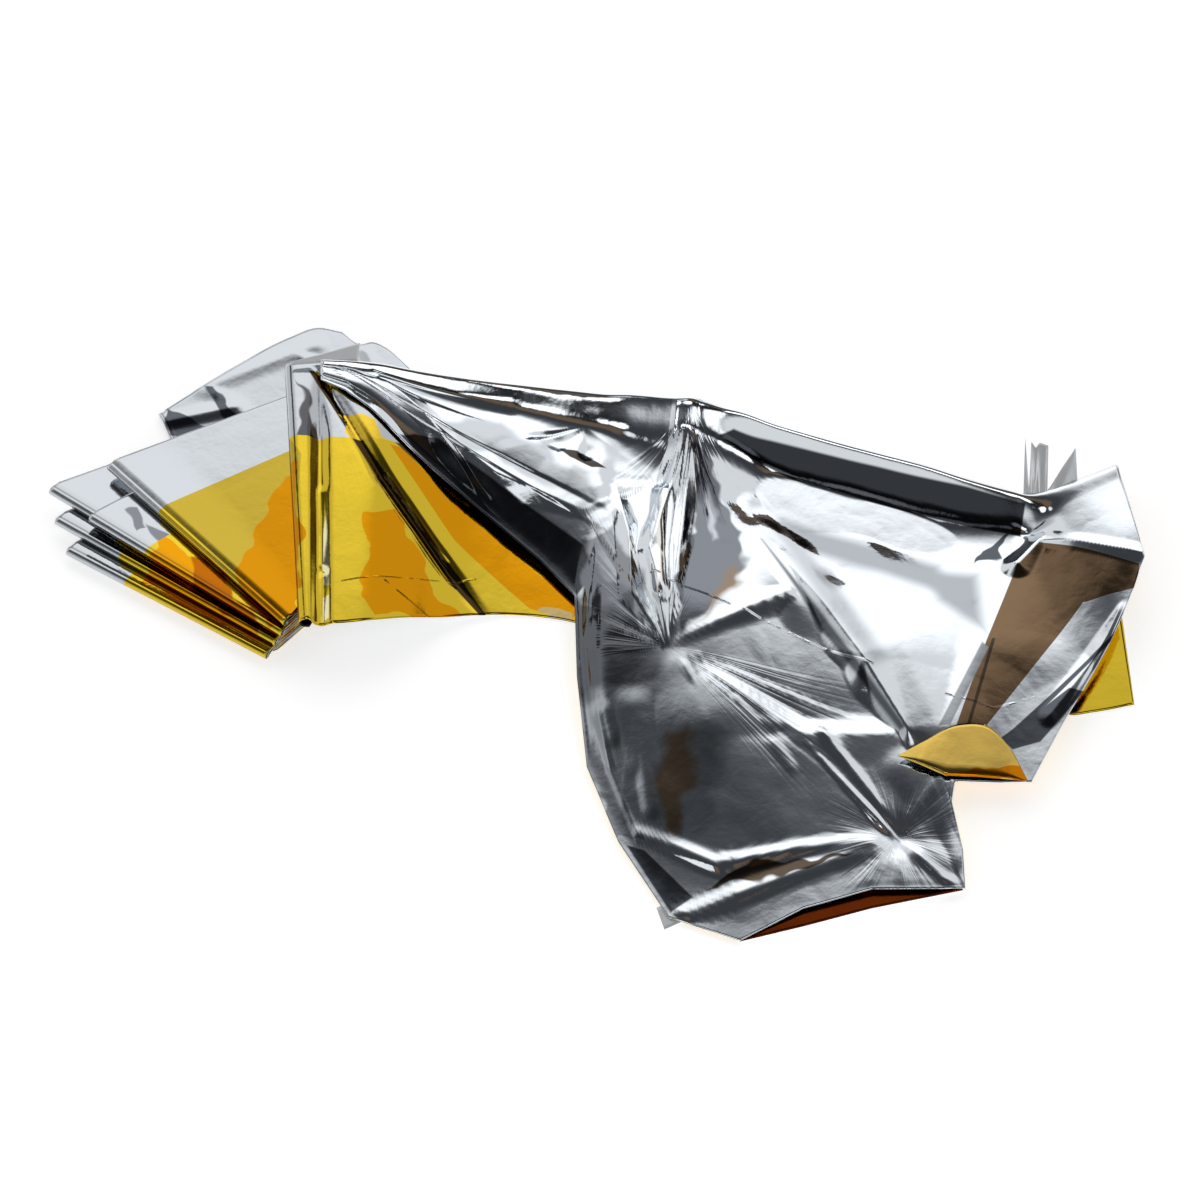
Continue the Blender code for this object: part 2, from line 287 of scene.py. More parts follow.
silverPaintedLight = [
    # left part: painted shade beside its free edge, and painted reflections
    ((0.075, 0.082, 0.092), 2.0,
     [(-147, 126), (-134, 128), (-116, 124), (-67, 84), (-18, 44), (6, 24), (-16, -3)]),
    ((0.22, 0.235, 0.26), 4, [(-4, 34), (18, 2), (40, -46), (20, -44), (-18, -6)], True),
    ((0.06, 0.05, 0.045), 1.2, [(-31, 121), (-16, 120), (6, 105), (-6, 103), (-22, 111)]),
    ((0.50, 0.53, 0.56), 9, [(-124, 146), (-70, 146), (-6, 96), (6, 62), (-60, 92), (-118, 132)], True),
    # painted reflections and shade round the pleats, with a painted white highlight
    ((0.32, 0.34, 0.37), 5, [(-14, 48), (12, 54), (22, 34), (38, -36), (10, -2)], True),
    ((1, 1, 1), 1.5, [(42, 78), (54, 80), (51, 48), (45, -9), (39, -4), (37, 50)]),
    ((0.19, 0.205, 0.23), 3, [(68, 132), (79, 116), (101, 45), (101, 6), (54, -53), (60, 40)], True),
    ((0.48, 0.51, 0.55), 5, [(76, 100), (84, 86), (83, 44), (74, 38), (71, 70)], True),
    ((0.26, 0.19, 0.13), 9, [(96, 20), (108, 6), (90, -18), (62, -48), (82, 0)], True),
    ((0.42, 0.45, 0.48), 16,
     [(-40, 4), (36, -40), (66, -62), (92, -120), (84, -190), (30, -204), (-20, -160)], True),
    ((0.13, 0.14, 0.155), 12, [(-40, 12), (2, 8), (40, -40), (58, -54), (46, -82), (-40, -104)], True),
    # painted dark reflection on the back band and the long ridge, and painted soft grey reflection beyond it
    ((0.04, 0.045, 0.052), 1.4,
     [(84, 132), (104, 137), (147, 122), (197, 105), (264, 81), (304, 68), (300, 46), (264, 59), (147, 100)]),
    ((0.36, 0.385, 0.41), 13, [(112, 66), (130, 76), (246, 30), (250, -12), (184, 14), (135, 36)]),
    ((0.36, 0.385, 0.41), 12, [(222, 28), (272, 20), (272, -48), (232, -12)]),
    ((0.50, 0.53, 0.56), 12, [(116, 64), (146, 54), (206, -64), (186, -76), (146, -14)]),
    ((0.15, 0.165, 0.18), 3.5, [(112, 46), (116, 46), (210, -118), (202, -120), (152, -38)]),
    # right end: painted slate and brown reflections, and painted shade
    (slateReflectionPaint, 1.0, [(293, 46), (276, 37), (268, 22), (288, 33)], True),
    (brownReflectionPaint, 0.6, [(311, 38), (377, 9), (374, -10), (338, -18), (300, -10), (292, 16)]),
    (brownReflectionPaint, 0.6, [(294, 20), (337, -17), (260, -118), (241, -116), (267, -46)]),
    ((0.06, 0.045, 0.03), 0.6, [(271, -44), (274, -44), (251, -116), (248, -116)]),
    ((0.30, 0.32, 0.34), 1.5, [(228, -117), (264, -46), (269, -52), (238, -116)]),
    (slateReflectionPaint, 1.0, [(357, -42), (352, -52), (272, -132), (269, -127)]),
    (slateReflectionPaint, 1.2, [(332, -88), (320, -86), (270, -124), (278, -134), (298, -128)]),
    # flap and its hem: painted reflections and shade
    ((0.34, 0.36, 0.39), 3, [(-24, -100), (-8, -100), (0, -120), (8, -148), (-14, -150)], True),
    ((0.34, 0.36, 0.39), 3, [(-14, -134), (4, -134), (28, -198), (8, -204)], True),
    ((0.34, 0.24, 0.16), 8, [(42, -112), (62, -112), (70, -160), (58, -196), (40, -190), (34, -150)], True),
    ((0.10, 0.075, 0.055), 2.0, [(62, -232), (100, -232), (184, -203), (124, -212), (78, -222)], True),
    (slateReflectionPaint, 1.5, [(16, -199), (46, -252), (62, -240), (30, -204)]),
]
silverFinish = {
    "colour": (0.79, 0.835, 0.88),
    "metallic": 1.0,
    "lowGloss": 0.05,
    "highGloss": 0.12,
    "crinkle": 0.055,
    "markWidth": 1.0,
    "markDepth": 0.9,
    # straight marks left by the packing folds, from and to
    "marks": [
        ((36, 7), (72, -8)), ((72, -8), (98, -21)), ((98, -21), (167, -58)), ((167, -58), (188, -68)),
        ((236, -90), (268, -101)), ((268, -101), (297, -92)),
    ],
    "pleatDepth": 1.2,
    "gathers": [
        ((46, -51), -34, 16, 170, 22, 1.0),
        ((46, -51), 98, 32, 160, 16, 1.0),
        ((65, 149), 265, 44, 110, 13, 0.8),
        ((197, -197), 0, 180, 62, 9, 0.7),
        ((46, -51), 150, 36, 62, 14, 0.9),
    ],
    "facets": silverPaintedLight,
}
# the strip's silver: a darker copy of the sheet's silver, as painted shade, with painted patches of
# reflection and shade
stripFinish = dict(silverFinish, colour=(0.53, 0.56, 0.59), marks=[], gathers=[], facets=[
    # painted dark reflections on the folded bundle at the back, and on the second panel of the fan
    (slateReflectionPaint, 2, [(-324, 166), (-318, 150), (-280, 142), (-278, 152), (-300, 162)], True),
    (slateReflectionPaint, 2, [(-294, 187), (-286, 189), (-266, 168), (-276, 160)], True),
    ((0.2, 0.21, 0.23), 2, [(-342, 60), (-331, 62), (-318, 44), (-330, 40)], True),
    ((0.2, 0.21, 0.23), 2, [(-322, 50), (-312, 47), (-300, 32), (-312, 30)], True),
    # painted shade beside the upright roll, and a painted gold patch
    rollGrooveShade,
    ((0.10, 0.10, 0.11), 2, [(-221, 172), (-216, 166), (-208, 140), (-197, 112), (-215, 112)], True),
    ((0.80, 0.55, 0.05), 1.2, [(-188, 144), (-167, 141), (-146, 111), (-171, 113)], True),
])
goldPaintedLight = [
    # painted darker gold on the widest panel of the fan, and painted orange reflection and shade in the
    # deeper part beside the roll
    ((0.48, 0.35, 0.04), 1.0, [(-318, 72), (-224, 118), (-213, 100), (-213, -34), (-226, -34)]),
    (orangeReflectionPaint, 1.0, [(-312, 38), (-290, 20), (-236, -34), (-245, -40), (-320, 10)], True),
    ((0.42, 0.12, 0.003), 1.5, [(-294, 23), (-283, 24), (-236, -28), (-240, -36), (-282, -2)], True),
    ((0.56, 0.235, 0.004), 1.0,
     [(-224, 92), (-238, 56), (-249, 25), (-251, 9), (-250, -8), (-229, -37), (-208, -38), (-212, 92)], True),
    # painted orange reflections on the panels under the opened sheet's free edge
    (orangeReflectionPaint, 1.0,
     [(-166, 51), (-151, 61), (-137, 48), (-125, 24), (-110, -9), (-107, -32), (-155, -34),
      (-164, 4), (-167, 25)], True),
    (orangeReflectionPaint, 1.0, [(-112, -7), (-86, -17), (-77, -29), (-108, -32)], True),
    (orangeReflectionPaint, 0.8, [(-152, 116), (-142, 116), (-14, -6), (-20, -20), (-50, -8), (-104, 46)]),
    ((0.55, 0.42, 0.18), 1.0, [(-42, -6), (-20, -8), (-20, -28), (-36, -22)], True),
    # painted shadow under the opened sheet's free edge
    ((0.10, 0.066, 0.03), 1.5,
     [(-172, 142), (-140, 142), (-60, 66), (-48, 54), (-91, 76), (-118, 94), (-153, 122)]),
    # painted shade in the groove beside the roll and in the valley between the gold panels
    rollGrooveShade,
    (foldShadePaint, 1.2, [(-161, 85), (-153, 93), (-94, 9), (-102, 4)]),
    (foldShadePaint, 1.0, [(-108, 12), (-101, 19), (-69, -31), (-72, -31)]),
    # painted highlights along the gold lens beside the roll
    ((1.0, 0.92, 0.55), 1.0,
     [(-195, 30), (-193, 64), (-190, 30), (-186, 0), (-188, -14), (-192, -12), (-194, 5)]),
    ((1.0, 0.92, 0.55), 1.0, [(-192, -22), (-187, -20), (-186, -40), (-191, -44)]),
    # turned corner: painted paler reflection, and painted deeper orange reflection along its front
    ((0.66, 0.45, 0.10), 1.0, [(190, -138), (240, -104), (292, -112), (292, -164), (210, -164)]),
    ((0.60, 0.20, 0.003), 0.8, [(228, -156), (290, -162), (290, -143), (258, -150)], True),
]
goldFinish = dict(
    silverFinish, colour=(0.69, 0.495, 0.035), lowGloss=0.06, crinkle=0.04,
    markWidth=0.8, markDepth=0.5, marks=[((-179, -9), (-88, 15)), ((-150, -4), (-110, -30))],
    pleatDepth=1.0, gathers=[((-206, 190), -68, 26, 200, 26, 0.5)], facets=goldPaintedLight,
)
# gold film painted dark red-brown as painted shade, for the ply under the flap's front edge
shadeFinish = dict(goldFinish, colour=(0.13, 0.022, 0.003), lowGloss=0.12, highGloss=0.25, crinkle=0.05,
                   marks=[], gathers=[], facets=[])
# a paler, less metallic copy of the silver film: painted light on the small free pieces
paleFinish = dict(shadeFinish, colour=(0.74, 0.76, 0.78), metallic=0.3)


# painted shade beside a tight fold, kept on the mesh
shadeName = "fold shade"
shadeColour = (0.035, 0.025, 0.014)


def layoutPlace(pair):
    return tuple((at(pair, 0) - layoutCentre) * mm)


def paintedPatchMask(tree, outline, soft, plan):
    # inside every edge of the painted patch's outline
    corners = [np.array(layoutPlace(corner)[:2]) for corner in outline]
    middle = sum(corners) / len(corners)
    inside = None
    for a, b in zip(corners, corners[1:] + corners[:1]):
        inward = np.array([a[1] - b[1], b[0] - a[0]])
        inward /= lengths(inward)
        inward *= 1 if inward @ (middle - a) > 0 else -1
        edge = (inward[0], inward[1], -inward @ a)
        inside = useGroup(tree, paintedEdgeGroup, {"Plan": plan, "Edge": edge, "Inside": inside})["Inside"]
    return remap(tree, inside, 0.0, soft * mm, 0.0, 1.0)


def makeFilm(name, finish):
    material = bpy.data.materials.new(name)
    material.use_nodes = True
    tree = material.node_tree
    shader = tree.nodes["Principled BSDF"].inputs
    plug(shader["Base Color"], finish["colour"])
    plug(shader["Metallic"], finish["metallic"])
    crinkle = useGroup(tree, crinkleGroup, {
        "Low Gloss": finish["lowGloss"], "High Gloss": finish["highGloss"]})
    plug(shader["Roughness"], crinkle["Roughness"])
    normal = bumped(tree, crinkle["Height"], finish["crinkle"], crackle["bumpDistance"])

    height = None
    for start, end in finish["marks"]:
        height = useGroup(tree, pressGroup, {
            "Start": layoutPlace(start), "End": layoutPlace(end), "Width": finish["markWidth"] * mm,
            "Height": height})["Height"]
    if height:
        normal = bumped(tree, height, 1.0, finish["markDepth"] * mm, normal)

    height = None
    for place, toward, spread, reach, fineness, depth in finish["gathers"]:
        angle = math.radians(toward)
        height = useGroup(tree, pleatGroup, {
            "Centre": layoutPlace(place), "Toward": (math.cos(angle), math.sin(angle), 0),
            "Spread": math.cos(math.radians(spread)) - pleat["softSide"], "Reach": reach * mm,
            "Fineness": fineness, "Depth": depth, "Height": height})["Height"]
    if height:
        normal = bumped(tree, height, 1.0, finish["pleatDepth"] * mm, normal)
    plug(shader["Normal"], normal)

    # painted reflections, shade and highlights mixed into the base colour, patch by patch
    colour = finish["colour"]
    if finish["facets"]:
        plans = useGroup(tree, planGroup)
    for tone, soft, outline, *uneven in finish["facets"]:
        mask = paintedPatchMask(tree, outline, soft, plans["Uneven" if uneven else "Plain"])
        colour = blend(tree, mask, colour, tone)
    # painted shade beside tight folds, read from the mesh
    shade = addNode(tree, "ShaderNodeAttribute", attribute_name=shadeName).outputs["Fac"]
    plug(shader["Base Color"], blend(tree, shade, colour, shadeColour))
    return material


silverFilm = makeFilm("silver film", silverFinish)
stripFilm = makeFilm("strip silver film", stripFinish)
goldFilm = makeFilm("gold film", goldFinish)
shadedFilm = makeFilm("shaded gold film", shadeFinish)
paleFilm = makeFilm("pale film", paleFinish)
print("stage: finishes made")


# soft crumpling along the film's normals

crumpling = {"detail": 2.5, "distortion": 0.4}


def makeCrumpleTree():
    tree, given, out = makeGroup("crumple film", {
        "Film": "Geometry", "Depth": "Float", "Size": "Float", "Seed": "Float", "Finish": "Material",
    }, {"Film": "Geometry"}, "GeometryNodeTree")
    place = addNode(tree, "GeometryNodeInputPosition").outputs["Position"]
    normal = addNode(tree, "GeometryNodeInputNormal").outputs["Normal"]
    facets = noise(tree, place, given["Size"], crumpling["detail"], crumpling["distortion"],
                   "4D", given["Seed"])["Fac"]
    folded = calc(tree, "ABSOLUTE", calc(tree, "SUBTRACT", facets, 0.5))
    offset = vector(tree, "MULTIPLY", normal, calc(tree, "MULTIPLY", folded, given["Depth"]))
    film = given["Film"]
    for kind, inputs in (("SetPosition", {"Offset": offset}), ("RealizeInstances", {}),
                         ("SetMaterial", {"Material": given["Finish"]})):
        film = addNode(tree, "GeometryNode" + kind, {"Geometry": film, **inputs}).outputs["Geometry"]
    plug(out["Film"], film)
    return tree


crumpleTree = makeCrumpleTree()


def crumple(piece, depth, size, seed, finish):
    mod = piece.modifiers.new("crumple", "NODES")
    mod.node_group = crumpleTree
    values = {"Depth": depth, "Size": size, "Seed": seed, "Finish": finish}
    for item in crumpleTree.interface.items_tree:
        if item.in_out == "INPUT" and item.name in values:
            mod[item.identifier] = values[item.name]
    graph = bpy.context.evaluated_depsgraph_get()
    plain = bpy.data.meshes.new_from_object(piece.evaluated_get(graph))
    piece.modifiers.remove(mod)
    piece.data = plain


# mesh making shared by the pieces

def makeMesh(name, grid, flip, shades):
    # grid: rows of points; the first face looks up when flip is set and rows run left to right
    count, width = grid.shape[:2]
    vertices = ((grid - layoutCentre) * mm).reshape(-1, 3)
    faces = []
    for k in range(count - 1):
        for i in range(width - 1):
            a = k * width + i
            b, c, d = a + width, a + width + 1, a + 1
            faces += [(a, c, b), (a, d, c)] if flip else [(a, b, c), (a, c, d)]
    mesh = bpy.data.meshes.new(name)
    mesh.from_pydata(vertices.tolist(), [], faces)
    mesh.shade_smooth()
    if shades is not None:
        shade = mesh.attributes.new(shadeName, "FLOAT", "POINT")
        shade.data.foreach_set("value", np.repeat(shades, width).astype(np.float32))
    piece = bpy.data.objects.new(name, mesh)
    bpy.context.scene.collection.objects.link(piece)
    return piece


def dress(piece, above, below, thickness):
    # the finish of the first face, the finish of the other, and the film's thickness
    piece.data.materials.clear()
    piece.data.materials.append(above)
    piece.data.materials.append(below)
    film = piece.modifiers.new("film", "SOLIDIFY")
    film.thickness = thickness * mm
    film.offset = 0
    film.use_even_offset = False
    film.material_offset = 1
    film.material_offset_rim = 0


def makePiece(name, grid, made, above, below, flip=True, shades=None):
    # the crumpled piece, the grid it was made from, and its area before it is given a thickness
    piece = makeMesh(name, grid, flip, shades)
    for size, depth in made["crumples"]:
        crumple(piece, depth, size, made["seed"], above)
    area = surfaceArea(piece.data)
    dress(piece, above, below, made["filmThickness"])
    return piece, grid, area


def surfaceArea(mesh):
    return sum(polygon.area for polygon in mesh.polygons)


# a crease runs straight from station to station; width is its half width there, and right is
# the half width on the right hand where that differs
Station = namedtuple("Station", "x y rise width right", defaults=[None])


def creaseRelief(plan, creases, hollow):
    # the strongest crest and the deepest trough at each place; full and round where hollow is 0
    high = np.zeros(plan.shape[:-1])
    low = np.zeros(plan.shape[:-1])
    for crease in creases:
        stations = [Station(*values) for values in crease]
        for a, b in zip(stations, stations[1:]):
            start = np.array(a[:2], dtype=float)
            run = np.array(b[:2]) - start
            along = np.clip(((plan - start) @ run) / (run @ run), 0, 1)
            away = lengths(plan - start - along[..., None] * run)
            width = lerp(a.width, b.width, along)
            if a.right:
                hand = run[0] * (plan[..., 1] - start[1]) - run[1] * (plan[..., 0] - start[0])
                leftShare = 0.5 + 0.5 * hand / (lengths(run) * np.maximum(away, 1e-6))
                width = lerp(lerp(a.right, b.right, along), width, np.clip(leftShare, 0, 1))
            share = np.clip(away / width, 0, 1)
            profile = (1 - share) ** hollow if hollow else (1 - share * share) ** 2
            value = lerp(a.rise, b.rise, along) * profile
            high = np.maximum(high, value)
            low = np.minimum(low, value)
    return high + low


def pinchRelief(plan, pinches):
    height = np.zeros(plan.shape[:-1])
    for place, depth, radius in pinches:
        reach = lengths(plan - np.array(place)) / radius
        height -= depth * np.exp(-reach * reach)
    return height


fanShape = {"least": 0.3, "fullAt": 0.35, "fall": 0.7}


def fanRelief(plan, fans, seed):
    # sharp uneven pleats that spread from a gathered point
    chance = np.random.default_rng(seed)
    height = np.zeros(plan.shape[:-1])
    for place, reach, fromAngle, toAngle, pleats, depth in fans:
        away = plan - np.array(place)
        radius = lengths(away)
        angle = np.degrees(np.arctan2(away[..., 1], away[..., 0]))
        share = ((angle - fromAngle) % 360) / (toAngle - fromAngle)
        knots = np.sort(np.concatenate([[0, 1], chance.random(pleats - 2)]))
        sizes = chance.uniform(fanShape["least"], 1.0, pleats)
        folds = np.where(np.arange(pleats) % 2 == 0, -1.0, 1.0) * sizes
        folds[0] = folds[-1] = 0
        wave = np.interp(share, knots, folds, right=0)
        strength = np.clip(radius / (fanShape["fullAt"] * reach), 0, 1)
        strength *= np.clip(1 - radius / reach, 0, 1) ** fanShape["fall"]
        height += depth * wave * strength
    return height


# the folded strip: accordion and the part that runs on under the sheet

strip = {
    "acrossSteps": 84,
    "panelSteps": 4,
    "bundleSteps": [[5, 7, 9, 7, 8], [6, 4, 4, 5, 6]],
    "rollSteps": 12,     # rows over the upright roll's top
    "turnSteps": 12,
    "rightTurnSteps": 6,
    "tubeFar": 3.2,      # radius of the rounded left folds, far end and near end
    "tubeNear": 2.7,
    "tubeUnder": 0.3,    # least height of a tube's underside
    "tubeWrap": 128,     # degrees that a fold wraps each way
    # painted shade on a fold by its turn in degrees, on the left folds and on the upright roll
    "tubeShade": ([-64, -43, -21, 0, 85, 107, 128], [0.3, 0.9, 0.9, 0, 0, 0.1, 0.65]),
    "rollShade": ([-60, -30, -10, 12, 60, 90], [1, 1, 0.9, 0, 0, 0]),
    "flatOut": -3.4,     # in tube radii: where the film lies flat behind a fold, and where it lifts off
    "liftOff": -2.1,
    "lift": 0.33,
    "liftShade": 0.1,
    "lowest": 0.5,       # least height of the strip
    "hollow": 1.3,       # how hollow the creases' sides are
    "rollHollow": 1.0,
    "bundleFrom": 120,   # the bundle's creases start here, and are full after the next value
    "bundleFull": 160,
    "reliefFrom": 1.0,   # the gold panels' creases fade out where the strip lies low
    "reliefFull": 9.0,
    "closeRows": 130,    # the sheet's sections that the strip keeps all of, and how it thins the rest
    "thinning": 3,
    "bandShare": 0.30,   # far share of the width where the turned-over ply lies
    "filmThickness": 0.3,
    "crumples": [(9.0, 0.0009), (30.0, 0.0002)],
    "seed": 3.0,
}

Fold = namedtuple("Fold", "side far near low high bulge")
folds = [
    Fold(0, (-190, 232), (-156, 34), 0.5, 0.5, 0),
    Fold(-1, (-326, 166), (-228, -44), 0.5, 2.6, 0),
    Fold(0, (-195, 245), (-190, 0), 2.6, 2.6, 0),
    Fold(1, (-138, 204), (-152, 30), 2.6, 4.7, 1.6),
    Fold(-1, (-380, 36), (-232, -53), 4.7, 6.8, 0),
    Fold(1, (-176, 196), (-158, 32), 6.8, 8.9, 1.6),
    Fold(-1, (-390, 60), (-226, -45), 8.9, 11.0, 0),
    Fold(1, (-182, 188), (-162, 29), 11.0, 13.1, 1.6),
    Fold(-1, (-396, 84), (-223, -36), 13.1, 15.2, 0),
    Fold(1, (-176, 193), (-157, 33), 15.2, 17.4, 1.6),
    Fold(-1, (-364, 56), (-221, -43), 17.4, 19.6, 0),
    Fold(1, (-181, 187), (-162, 30), 19.6, 21.8, 1.6),
    Fold(-1, (-354, 98), (-219, -38), 22.0, 27.2, 0),
    Fold(1, (-178, 190), (-160, 34), 24.0, 26.4, 1.6),
    Fold(-1, (-231, 184), (-207, -44), 29.6, 39.6, 7.0),
]

# groove beside the upright roll
rollCreases = [[(-206, 172, 0, 5), (-202, 120, -5, 8), (-191, -48, -5, 7)]]
goldCreases = [
    [(-197, 70, 1.4, 5), (-193, 4, 1.4, 5)],
    [(-193, -4, 1.4, 5), (-191, -46, 1.2, 5)],
    # deep valley between the gold panels
    [(-212, 190, -1, 4), (-156, 87, -6, 9), (-102, 12, -5, 8), (-70, -30, -1, 4)],
]
# far outline of the back bundle, up to its rounded top and down past a small bump
bundleOutlines = {
    2: [(-326, 166), (-304, 185), (-271, 213), (-233, 240), (-214, 249), (-195, 245)],
    3: [(-195, 245), (-180, 233), (-171, 235), (-163, 231), (-149, 217), (-138, 204)],
}
bundleCreases = [
    [(-320, 158, 2.4, 9), (-270, 172, 2.4, 10)],
    [(-290, 188, 1.8, 6), (-262, 166, 1.2, 8)],
    [(-296, 190, 0.8, 10), (-214, 232, 1.2, 12)],
    [(-226, 222, 1.8, 9), (-190, 196, 1.0, 12)],
    [(-176, 226, 1.2, 7), (-166, 205, 0.6, 9)],
]


def foldShape(fold):
    # which way a fold points, and its middle height
    along = at(fold.near, 0) - at(fold.far, 0)
    along /= lengths(along)
    return np.array([-along[1], along[0], 0]) * fold.side, (fold.low + fold.high) / 2


def tubeLines(fold):
    # a left fold: the film wraps round a small tube and comes back at the next level
    outward, middle = foldShape(fold)
    wrap = strip["tubeWrap"]
    lines = []
    radii = [min(strip[end], middle - strip["tubeUnder"]) for end in ("tubeFar", "tubeNear")]
    corners = [at(fold.far, 0), at(fold.near, 0)]

    def place(reachOut, lift):
        # reachOut is in tube radii, and lift gives the height for a radius
        return [corner + outward * radius * reachOut + at((0, 0), lift(radius))
                for corner, radius in zip(corners, radii)]

    lines.append(place(strip["flatOut"], lambda radius: fold.low))
    shades = [0.0]
    for step in range(strip["turnSteps"] + 1):
        turn = lerp(-wrap, wrap, step / strip["turnSteps"])
        angle = math.radians(turn)
        lines.append(place(math.cos(angle) - 1, lambda radius: middle + radius * math.sin(angle)))
        shades.append(float(np.interp(turn, *strip["tubeShade"])))
    lines.append(place(strip["liftOff"], lambda radius: fold.high + strip["lift"] * radius))
    lines.append(place(strip["flatOut"], lambda radius: fold.high))
    return lines, shades + [strip["liftShade"], 0.0]


def rollLines(fold, steps):
    # a plain half round fold
    outward, middle = foldShape(fold)
    half = (fold.high - fold.low) / 2
    lines = []
    shades = []
    for step in range(steps + 1):
        angle = math.pi * (step / steps - 0.5)
        shift = outward * fold.bulge * (math.cos(angle) - 1)
        level = middle + half * math.sin(angle)
        lines.append([at(fold.far, level) + shift, at(fold.near, level) + shift])
        shades.append(float(np.interp(math.degrees(angle), *strip["rollShade"])) if fold.side < 0 else 0.0)
    return lines, shades


def foldLines(fold):
    # the lines of a fold, and the painted shade along each
    if fold.side == 0:
        return [[at(fold.far, fold.low), at(fold.near, fold.low)]], [0.0]
    if fold.bulge:
        return rollLines(fold, strip["turnSteps"] if fold.side < 0 else strip["rightTurnSteps"])
    return tubeLines(fold)


def accordionLines():
    # the fold lines in order with their shades, and how many come before the back bundle's top is passed
    lines = []
    shades = []
    for number, fold in enumerate(folds):
        turn, turnShades = foldLines(fold)
        if number in bundleOutlines:
            far, near = lines[-1]
            steps = strip["bundleSteps"][number - 2]
            level = lerp(far[2], turn[0][0][2], np.arange(1, sum(steps)) / sum(steps))
            outline = smoothThrough(bundleOutlines[number], steps)[1:-1]
            for step, (place, height) in enumerate(zip(outline, level)):
                lines.append([at(place, height), lerp(near, turn[0][1], (step + 1) / sum(steps))])
        elif lines:
            far, near = lines[-1]
            for step in range(1, strip["panelSteps"]):
                t = step / strip["panelSteps"]
                lines.append([lerp(far, turn[0][0], t), lerp(near, turn[0][1], t)])
        shades += [0.0] * (len(lines) - len(shades)) + turnShades
        lines += turn
        if number == max(bundleOutlines):
            bundleEnd = len(lines)
    return np.array(lines), shades, bundleEnd


# the sections that the opened sheet and the strip beneath it are drawn through

Rib = namedtuple("Rib", "back crest ply plyNear front mid low edge drop", defaults=[16])
ribs = [
    Rib((-204, 182), 45, 38.0, (-196, -46), (-203, 166), 44, 43, 42),
    Rib((-184, 182), 44, 36.5, (-180, -45), (-185, 157), 43, 42, 41),
    Rib((-162, 182), 41, 34.0, (-160, -41), (-168, 144.5), 41, 39.5, 37.4),
    Rib((-136, 179), 37, 23.0, (-136, -31), (-149, 126), 34.5, 32.5, 29.5),
    Rib((-100, 175), 33, 9.0, (-110, -21), (-120, 100), 28, 25, 19.5),
    Rib((-55, 170), 31, 2.0, (-74, -14), (-82, 66), 25, 20, 11.5),
    Rib((-18, 166), 30, 0.5, (-30, -17), (-42, 27), 22, 17, 9),
    Rib((5, 163), 30, 0.5, (2, -26), (-18, -2), 20, 15, 8),
    Rib((22, 161), 32, 0.5, (28, -33), (-16, -70), 18, 14, 7),
    Rib((36, 158), 34, 0.5, (50, -38), (-9, -140), 19, 14.5, 3),
    Rib((48, 155), 36, 0.5, (70, -42), (12, -198), 20, 11.5, 2),
    Rib((58, 153), 38, 0.5, (90, -46), (45, -255), 20.5, 9.5, 1.2),
    Rib((67, 152), 39, 0.5, (109, -50), (91, -272), 20.5, 9, 1.8, 17),
    Rib((76, 150), 37, 0.5, (128, -54), (133, -250), 19.4, 9, 5, 18),
    Rib((87, 147), 35, 0.5, (148, -58), (179, -236), 17, 9, 6, 19.5),
    Rib((104, 142), 34, 0.5, (170, -62), (240, -235), 14.2, 9.5, 5, 22.5),
    Rib((124, 134), 32, 0.5, (192, -67), (240, -208), 12.2, 11, 9.5, 24),
    Rib((147, 126), 31, 0.5, (214, -72), (235, -173), 11.5, 12.5, 12, 25),
    Rib((171, 118), 30, 0.5, (236, -77), (238, -158), 11.6, 14, 13, 24),
    Rib((197, 109), 30, 0.5, (258, -81), (263, -159), 11, 14.5, 13.5, 23),
    Rib((230, 98), 30, 0.5, (282, -86), (289, -159), 11.5, 15, 14, 22),
    Rib((264, 85), 29, 0.5, (306, -92), (314, -114), 13, 16, 16, 19),
    Rib((292, 76), 28, 0.5, (324, -97), (339, -73), 17, 19, 18.5, 13),
    Rib((306, 72), 28, 0.5, (336, -95), (352, -51), 22, 23, 22.5, 8),
    Rib((320, 76), 28, 0.5, (347, -93), (362, -31), 27, 27.5, 26.5, 2),
    Rib((336, 82), 29, 0.5, (356, -91), (371, -11), 29.5, 30, 29, 0),
    Rib((353, 89), 29.5, 0.5, (364, -89), (377, 5), 31, 32, 31.5, 0),
    Rib((371, 97), 30, 0.5, (369, -88), (381, 14), 32, 33, 32.5, 0),
]

section = {
    "footBack": 4.0,
    "band": 20.0,                     # steep film below the back crest, and its most share of a section
    "bandShare": 0.14,
    "sag": 4.0,                       # how far the film may sink behind its middle
    "midAt": 0.42,
    "lowAt": 0.76,
    "midGap": 2.0,                    # least distance from the band to the middle
    "edgeStrip": 5.0,                 # flat film along the edge, and its most share of a section
    "edgeShare": 0.2,
    "steps": [4, 9, 40, 44, 22, 3],  # faces from foot to crest, band, mid, low, edge, rim
    "ribPitch": 2.72,                 # spacing of the sheet's fine sections
    "straightFrom": 5,                # columns from here on run straight between ribs
}


